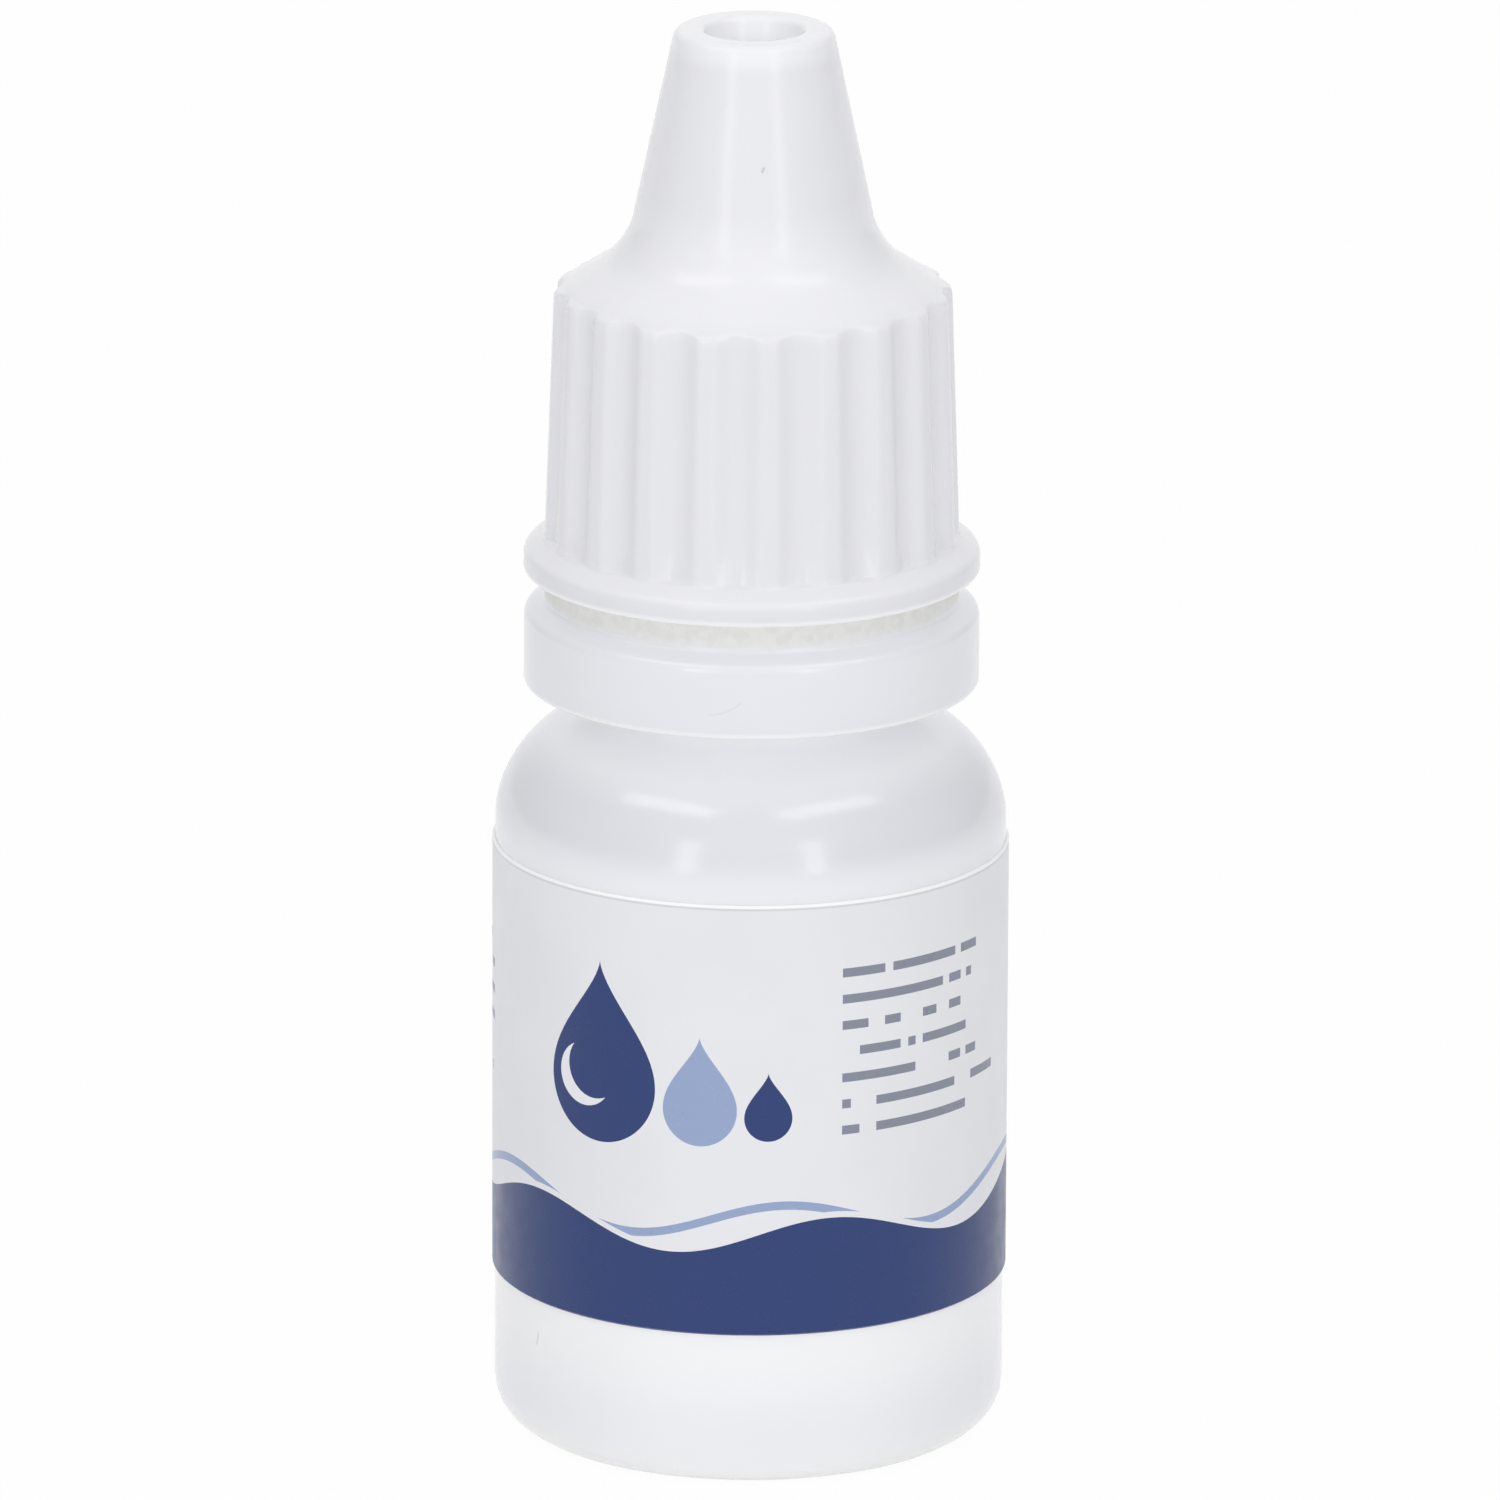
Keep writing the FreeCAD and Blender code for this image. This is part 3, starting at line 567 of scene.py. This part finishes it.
for vert in ringBand.verts:
    rise = (vert.co.z / mm - tornHeight) / (webTop - tornHeight)  # 0 at the ring, 1 at the torn edge
    rise = max(0.0, rise)
    spot = vert.co / mm * web["grain"]
    flat = spot * Vector((1, 1, 0.2))
    ragged = noise.noise(flat * 0.5) + 0.5 * noise.noise(flat * 1.7)
    vert.co.z -= abs(ragged) * web["ragged"] * rise * mm
    rough = abs(noise.noise(spot)) * web["rough"] * min(1.0, 3 * rise)
    setRadius(vert, math.hypot(vert.co.x, vert.co.y) / mm - rough)
finishPiece(ringBand, "ring_band", "tamper_ring", ringPlastic, ["tamper_ring"], sharp=50)

bridgeTop = capFoot - web["bridgeGap"]
bridgeFoot = webTop - web["ragged"]
bridgeDepth = web["wall"] - 2 * web["bridgeInset"]
bridgeSize = (bridgeDepth, web["bridgeWidth"], bridgeTop - bridgeFoot)
bridges = bmesh.new()
bmesh.ops.create_cube(bridges, size=mm)
bmesh.ops.scale(bridges, verts=bridges.verts[:], vec=bridgeSize)
bmesh.ops.bevel(bridges, geom=bridges.edges[:], offset=web["bridgeRound"] * mm, segments=2, profile=0.5,
                affect="EDGES", material=-1)
bmesh.ops.translate(bridges, verts=bridges.verts[:],
                    vec=Vector((ring["inside"] + web["wall"] / 2, 0, (bridgeTop + bridgeFoot) / 2)) * mm)
bmesh.ops.spin(bridges, geom=bridges.verts[:] + bridges.edges[:] + bridges.faces[:], cent=(0, 0, 0),
               axis=(0, 0, 1), angle=fullTurn, steps=web["bridges"], use_duplicate=True)
closeUp(bridges)
finishPiece(bridges, "break_off_bridges", "tamper_ring", ringPlastic)
print("tamper ring:", web["bridges"], "bridges")


# Label: a film with a plain generic print of drops, waves and rows of fine marks

label = {
    "seat": 0.01, "bevel": 0.1, "window": 6.0, "cornerRound": 1.6, "steps": 300, "longest": 1.8,
    "film": (0.83, 0.835, 0.87, 1), "filmShade": (0.81, 0.815, 0.85, 1), "navy": (0.008, 0.034, 0.165, 1),
    "sky": (0.3, 0.385, 0.6, 1), "grey": (0.24, 0.26, 0.33, 1),
    "waves": 5, "waveHeight": 0.85, "bandTop": 4.9, "waveLead": 0.9, "echoGap": 0.75, "echoWidth": 0.42,
    # the film's top edge gets a painted shadow line and a painted highlight
    "echoClear": 0.3, "shadowLineSpan": (0.28, 0.18), "shadowLineShare": 0.25, "highlightSpan": (0.16, 0.1),
    "edgeHighlightTone": (0.96, 0.96, 0.97, 1), "passes": {"Is Shadow Ray": 0.85},
}
drops = [  # across, foot, height and half width of each printed drop, and its ink
    {"Across": -7.6, "Foot": 9.0, "Height": 9.0, "Half": 3.0, "ink": "navy"},
    {"Across": -2.4, "Foot": 9.4, "Height": 5.4, "Half": 1.8, "ink": "sky"},
    {"Across": 0.9, "Foot": 9.7, "Height": 3.4, "Half": 1.15, "ink": "navy"},
]
gleam = {"across": -8.5, "up": 12.2, "radius": 1.55, "shift": 0.55, "slope": 0.8}
bars = {  # fine marks: row spacing, half a bar's share of it, cell length, noise and ragged right edge
    "pitch": 1.3, "half": 0.17, "cell": 0.45, "noise": 0.75, "cover": 0.43, "rowShift": 5.7, "ragged": 3.0,
}
finePrint = [  # left, right, foot and top of each block of fine marks
    {"Left": 4.2, "Right": 14.5, "Foot": 9.4, "Top": 18.4, "Seed": 3.0},
    {"Left": 19.0, "Right": 33.0, "Foot": 8.2, "Top": 19.4, "Seed": 11.0},
    {"Left": -33.0, "Right": -17.0, "Foot": 8.2, "Top": 19.4, "Seed": 23.0},
]


def buildInkDrop():
    group, takes, gives = newMaskGroup("inkDrop", ("U", "V", "Across", "Foot", "Height", "Half"))
    rise = mathsOf(group, "DIVIDE", mathsOf(group, "SUBTRACT", takes["V"], takes["Foot"]), takes["Height"])
    belly = mathsOf(group, "DIVIDE", takes["Half"], takes["Height"])  # height of the widest part
    low = mathsOf(group, "DIVIDE", mathsOf(group, "SUBTRACT", rise, belly), belly)
    roundPart = mathsOf(group, "SQRT", mathsOf(group, "MAXIMUM",
                        mathsOf(group, "SUBTRACT", 1.0, mathsOf(group, "MULTIPLY", low, low)), 0.0))
    up = mathsOf(group, "DIVIDE", mathsOf(group, "SUBTRACT", rise, belly),
                 mathsOf(group, "SUBTRACT", 1.0, belly))
    quarter = mathsOf(group, "MULTIPLY", mathsOf(group, "MINIMUM", up, 1.0), math.pi / 2)
    lean = mathsOf(group, "COSINE", quarter)
    pointPart = mathsOf(group, "POWER", mathsOf(group, "MAXIMUM", lean, 0.0), 1.5)
    upper = mathsOf(group, "GREATER_THAN", rise, belly)
    width = mathsOf(group, "ADD", mathsOf(group, "MULTIPLY", upper, pointPart),
                    mathsOf(group, "MULTIPLY", mathsOf(group, "SUBTRACT", 1.0, upper), roundPart))
    away = mathsOf(group, "ABSOLUTE", mathsOf(group, "SUBTRACT", takes["U"], takes["Across"]))
    inside = mathsOf(group, "LESS_THAN", away, mathsOf(group, "MULTIPLY", width, takes["Half"]))
    group.links.new(inside, gives["Mask"])
    return group


def buildFineMarks(b):
    group, takes, gives = newMaskGroup("fineMarks", ("U", "V", "Left", "Right", "Foot", "Top", "Seed"))
    rows = mathsOf(group, "DIVIDE", mathsOf(group, "SUBTRACT", takes["V"], takes["Foot"]), b["pitch"])
    row = mathsOf(group, "FLOOR", rows)
    middle = mathsOf(group, "ABSOLUTE", mathsOf(group, "SUBTRACT", mathsOf(group, "FRACT", rows), 0.5))
    across = mathsOf(group, "SNAP", takes["U"], b["cell"])  # whole cells, so that no bar is a sliver
    spot = group.nodes.new("ShaderNodeCombineXYZ")
    group.links.new(across, spot.inputs["X"])
    group.links.new(mathsOf(group, "MULTIPLY_ADD", row, b["rowShift"], takes["Seed"]), spot.inputs["Y"])
    patches = noiseOf(group, spot.outputs["Vector"], b["noise"], 1.0)
    filled = mathsOf(group, "GREATER_THAN", patches, b["cover"])
    ends = group.nodes.new("ShaderNodeTexWhiteNoise")
    ends.noise_dimensions = "1D"
    group.links.new(mathsOf(group, "ADD", row, takes["Seed"]), ends.inputs["W"])
    short = mathsOf(group, "MULTIPLY", ends.outputs["Value"], b["ragged"])
    right = mathsOf(group, "SUBTRACT", takes["Right"], short)
    found = mathsOf(group, "MULTIPLY", filled, mathsOf(group, "LESS_THAN", middle, b["half"]))
    limits = [("GREATER_THAN", across, takes["Left"]), ("LESS_THAN", across, right),
              ("GREATER_THAN", takes["V"], takes["Foot"]), ("LESS_THAN", takes["V"], takes["Top"])]
    for test, value, limit in limits:
        found = mathsOf(group, "MULTIPLY", found, mathsOf(group, test, value, limit))
    group.links.new(found, gives["Mask"])
    return group


def labelMaterial(look, radius, foot):
    material = bpy.data.materials.new("printedFilm")
    material.use_nodes = True
    tree = material.node_tree
    shader = tree.nodes["Principled BSDF"]
    place = tree.nodes.new("ShaderNodeTexCoord").outputs["Object"]
    parts = tree.nodes.new("ShaderNodeSeparateXYZ")
    tree.links.new(place, parts.inputs["Vector"])
    back = mathsOf(tree, "MULTIPLY", parts.outputs["Y"], -1.0)
    turn = mathsOf(tree, "ARCTAN2", parts.outputs["X"], back)  # 0 at the front, growing to the right
    u = mathsOf(tree, "MULTIPLY", turn, radius)
    v = mathsOf(tree, "MULTIPLY_ADD", parts.outputs["Z"], 1 / mm, -foot)
    cloud = rampOf(tree, noiseOf(tree, place, 160.0, 3.0), 0.35, 0.65)
    colour = mixOf(tree, cloud, look["film"], look["filmShade"])
    ink = None

    def printInk(mask, tone):
        nonlocal colour, ink
        colour = mixOf(tree, mask, colour, tone)
        ink = mask if ink is None else mathsOf(tree, "MAXIMUM", ink, mask)

    def waveLine(lead):
        swing = mathsOf(tree, "SINE", mathsOf(tree, "MULTIPLY_ADD", turn, float(look["waves"]), lead))
        return mathsOf(tree, "MULTIPLY", swing, look["waveHeight"])

    fineMarks = buildFineMarks(bars)
    for block in finePrint:
        printInk(placeGroup(tree, fineMarks, U=u, V=v, **block)["Mask"], look["grey"])
    inkDrop = buildInkDrop()
    for drop in drops:
        values = {name: value for name, value in drop.items() if name != "ink"}
        printInk(placeGroup(tree, inkDrop, U=u, V=v, **values)["Mask"], look[drop["ink"]])
    edges = []
    for shift in (0.0, gleam["shift"]):  # a crescent: one disc less another
        dx = mathsOf(tree, "SUBTRACT", u, gleam["across"] + shift)
        dy = mathsOf(tree, "SUBTRACT", v, gleam["up"] + shift * gleam["slope"])
        edges.append(hypotOf(tree, dx, dy))
    crescent = mathsOf(tree, "MULTIPLY", mathsOf(tree, "LESS_THAN", edges[0], gleam["radius"]),
                       mathsOf(tree, "GREATER_THAN", edges[1], gleam["radius"]))
    colour = mixOf(tree, crescent, colour, look["film"])
    over = mathsOf(tree, "SUBTRACT", v, waveLine(0.0))
    printInk(mathsOf(tree, "LESS_THAN", over, look["bandTop"]), look["navy"])
    second = mathsOf(tree, "SUBTRACT", v, waveLine(look["waveLead"]))
    echo = mathsOf(tree, "SUBTRACT", second, look["bandTop"] + look["echoGap"])
    line = mathsOf(tree, "LESS_THAN", mathsOf(tree, "ABSOLUTE", echo), look["echoWidth"] / 2)
    above = mathsOf(tree, "GREATER_THAN", over, look["bandTop"] + look["echoClear"])
    printInk(mathsOf(tree, "MULTIPLY", line, above), look["sky"])
    # painted shadow line and painted highlight along the top edge of the film
    dark, pale = [rampOf(tree, v, look["height"] - start, look["height"] - end)
                  for start, end in (look["shadowLineSpan"], look["highlightSpan"])]
    colour = mixOf(tree, mathsOf(tree, "MULTIPLY", dark, look["shadowLineShare"]), colour, look["grey"])
    colour = mixOf(tree, pale, colour, look["edgeHighlightTone"])  # painted highlight on the film's cut edge, above a painted shadow line
    tree.links.new(colour, shader.inputs["Base Color"])
    sheen = rampOf(tree, noiseOf(tree, place, 900.0, 4.0), 0.3, 0.7, 0.36, 0.44)
    tree.links.new(mathsOf(tree, "MULTIPLY_ADD", ink, -0.1, sheen), shader.inputs["Roughness"])
    bump = tree.nodes.new("ShaderNodeBump")
    bump.inputs["Strength"].default_value = 0.2
    bump.inputs["Distance"].default_value = 0.01 * mm
    grain = noiseOf(tree, place, 3000.0, 2.0)
    tree.links.new(mathsOf(tree, "MULTIPLY_ADD", ink, 0.4, grain), bump.inputs["Height"])
    tree.links.new(bump.outputs["Normal"], shader.inputs["Normal"])
    shader.inputs["Specular IOR Level"].default_value = 0.5
    letLightOn(tree, shader.outputs["BSDF"], look["passes"])
    return material


labelLow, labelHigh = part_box("label")
labelRadius = min(labelHigh.x, -labelLow.x, -labelLow.y) / mm
labelFoot = labelLow.z / mm
labelTop = labelHigh.z / mm
label["height"] = labelTop - labelFoot
windowTurn = label["window"] / labelRadius
film = wireOutline([
    (bodyRadius + label["seat"], labelFoot),
    (labelRadius, labelFoot + label["bevel"]),
    (labelRadius, labelTop - label["bevel"]),
    (bodyRadius + label["seat"], labelTop),
], closed=True)
splitLong(film, label["longest"])
bmesh.ops.rotate(film, verts=film.verts[:], matrix=Matrix.Rotation(math.pi / 2 + windowTurn / 2, 3, "Z"))
bmesh.ops.spin(film, geom=film.verts[:] + film.edges[:], cent=(0, 0, 0), axis=(0, 0, 1),
               angle=fullTurn - windowTurn, steps=label["steps"])
bmesh.ops.holes_fill(film, edges=[edge for edge in film.edges if edge.is_boundary], sides=0)
bmesh.ops.recalc_face_normals(film, faces=film.faces[:])
for vert in film.verts:
    turn = abs(math.atan2(vert.co.x, vert.co.y))  # from the middle of the bare strip at the back
    inset = label["cornerRound"] - (turn - windowTurn / 2) * labelRadius
    if inset > 0:
        cut = label["cornerRound"] - math.sqrt(max(label["cornerRound"] ** 2 - inset ** 2, 0))
        vert.co.z = min(max(vert.co.z, (labelFoot + cut) * mm), (labelTop - cut) * mm)
printedFilm = labelMaterial(label, labelRadius, labelFoot)
finishPiece(film, "label_film", "bottle", printedFilm, ["label"])
print("label:", round(labelTop - labelFoot, 2), "mm tall")


# Pieces that keep their CAD shape: the dropper and the solution

def liquidMaterial():
    material = bpy.data.materials.new("clearSolution")
    material.use_nodes = True
    tree = material.node_tree
    shader = tree.nodes["Principled BSDF"]
    place = tree.nodes.new("ShaderNodeTexCoord").outputs["Object"]
    swirl = noiseOf(tree, place, 120.0, 2.0)
    tint = mixOf(tree, swirl, (0.9, 0.94, 0.96, 1), (0.94, 0.97, 0.98, 1))
    tree.links.new(tint, shader.inputs["Base Color"])
    tree.links.new(rampOf(tree, swirl, 0.3, 0.7, 0.02, 0.05), shader.inputs["Roughness"])
    shader.inputs["IOR"].default_value = 1.33
    shader.inputs["Transmission Weight"].default_value = 0.9
    letLightOn(tree, shader.outputs["BSDF"], {"Is Shadow Ray": 0.97})
    return material


for node, material in (("dropper_plug", dropperPlastic), ("liquid", liquidMaterial())):
    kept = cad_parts[node]
    kept.data.materials.clear()
    kept.data.materials.append(material)
print("dropper and solution finished")


# Stage: pale floor, soft studio light and the camera of the photograph

stage = {
    "floorSize": 4.0, "floorTone": (0.93, 0.93, 0.93, 1), "floorGlow": 0.95, "ambient": 0.87, "sideLow": 0.25,
    "sideHigh": 0.9, "sideLevel": 0.45, "sideGloss": 0.35, "lampDistance": 0.9,
}
lamps = [  # a pair of upright strips in front and a pair of long boxes high at the sides
    {"name": "stripLeft", "turn": -29, "lift": 14, "roll": 0, "wide": 0.15, "tall": 0.56, "power": 0.68},
    {"name": "stripRight", "turn": 29, "lift": 14, "roll": 0, "wide": 0.15, "tall": 0.56, "power": 0.66},
    {"name": "highLeft", "turn": -60, "lift": 57, "roll": 16, "wide": 0.62, "tall": 0.16, "power": 0.85},
    {"name": "highRight", "turn": 56, "lift": 57, "roll": -12, "wide": 0.66, "tall": 0.16, "power": 0.85},
]
camera = {
    "target": 33.0, "pitch": 16.166, "distance": 910.64, "lens": 456.28, "shiftX": -0.0007, "shiftY": 0.00493,
    "roll": 0.25,
}


def seenDirectly(tree):
    # 1 for rays that should see plain white: camera, mirror and glass rays
    path = tree.nodes.new("ShaderNodeLightPath").outputs
    seen = mathsOf(tree, "MAXIMUM", path["Is Camera Ray"], path["Is Glossy Ray"])
    return mathsOf(tree, "MAXIMUM", seen, path["Is Transmission Ray"])


def makeFloor(s):
    bm = bmesh.new()
    bmesh.ops.create_grid(bm, x_segments=1, y_segments=1, size=s["floorSize"] / 2)
    mesh = bpy.data.meshes.new("floor")
    bm.to_mesh(mesh)
    bm.free()
    floor = bpy.data.objects.new("floor", mesh)
    bpy.context.scene.collection.objects.link(floor)
    material = bpy.data.materials.new("paleFloor")
    material.use_nodes = True
    tree = material.node_tree
    tree.nodes.remove(tree.nodes["Principled BSDF"])
    matt = tree.nodes.new("ShaderNodeBsdfDiffuse")
    matt.inputs["Color"].default_value = s["floorTone"]
    white = tree.nodes.new("ShaderNodeEmission")
    mix = tree.nodes.new("ShaderNodeMixShader")
    tree.links.new(mathsOf(tree, "MULTIPLY", seenDirectly(tree), s["floorGlow"]), mix.inputs["Fac"])
    tree.links.new(matt.outputs["BSDF"], mix.inputs[1])
    tree.links.new(white.outputs["Emission"], mix.inputs[2])
    tree.links.new(mix.outputs["Shader"], tree.nodes["Material Output"].inputs["Surface"])
    mesh.materials.append(material)


def makeLamp(box, aim, distance):
    lamp = bpy.data.lights.new(box["name"], "AREA")
    lamp.shape = "RECTANGLE"
    lamp.size = box["wide"]
    lamp.size_y = box["tall"]
    lamp.energy = box["power"]
    turn = math.radians(box["turn"])
    lift = math.radians(box["lift"])
    way = Vector((math.sin(turn) * math.cos(lift), -math.cos(turn) * math.cos(lift), math.sin(lift)))
    holder = bpy.data.objects.new(box["name"], lamp)
    holder.location = Vector(aim) + way * distance
    facing = (-way).to_track_quat("-Z", "Y")
    holder.rotation_euler = (facing @ Quaternion((0, 0, 1), math.radians(box["roll"]))).to_euler()
    bpy.context.scene.collection.objects.link(holder)


def makeLights(s, aim):
    world = bpy.data.worlds.new("studio")
    world.use_nodes = True
    tree = world.node_tree
    parts = tree.nodes.new("ShaderNodeSeparateXYZ")
    tree.links.new(tree.nodes.new("ShaderNodeTexCoord").outputs["Generated"], parts.inputs["Vector"])
    aside = mathsOf(tree, "ABSOLUTE", parts.outputs["X"])  # the room is dimmer to the left and right
    path = tree.nodes.new("ShaderNodeLightPath").outputs
    level = rampOf(tree, aside, s["sideLow"], s["sideHigh"], s["ambient"], s["ambient"] * s["sideLevel"])
    mirrored = rampOf(tree, aside, s["sideLow"], s["sideHigh"], 1.0, s["sideGloss"])
    for ray, value in (("Is Glossy Ray", mirrored), ("Is Camera Ray", 1.0), ("Is Transmission Ray", 1.0)):
        pick = tree.nodes.new("ShaderNodeMix")
        tree.links.new(path[ray], pick.inputs["Factor"])
        tree.links.new(level, pick.inputs["A"])
        if value == 1.0:
            pick.inputs["B"].default_value = 1.0
        else:
            tree.links.new(value, pick.inputs["B"])
        level = pick.outputs["Result"]
    tree.nodes["Background"].inputs["Color"].default_value = (1, 1, 1, 1)
    tree.links.new(level, tree.nodes["Background"].inputs["Strength"])
    bpy.context.scene.world = world
    for lamp in lamps:
        makeLamp(lamp, aim, s["lampDistance"])


def makeCamera(c):
    lens = bpy.data.cameras.new("photoCamera")
    lens.lens = c["lens"]
    lens.sensor_width = 36.0
    lens.shift_x = c["shiftX"]
    lens.shift_y = c["shiftY"]
    lens.clip_start = 0.01
    holder = bpy.data.objects.new("photoCamera", lens)
    pitch = math.radians(c["pitch"])
    target = Vector((0, 0, c["target"] * mm))
    back = Vector((0, -math.cos(pitch), math.sin(pitch))) * c["distance"] * mm
    turned = (-back).to_track_quat("-Z", "Y").to_matrix().to_4x4()
    roll = Matrix.Rotation(math.radians(c["roll"]), 4, "Z")
    holder.matrix_world = Matrix.Translation(target + back) @ turned @ roll
    bpy.context.scene.collection.objects.link(holder)
    bpy.context.scene.camera = holder


makeFloor(stage)
makeLights(stage, (0, 0, camera["target"] * mm))
makeCamera(camera)
bpy.context.scene.view_settings.view_transform = "Standard"
print("stage, lights and camera ready")
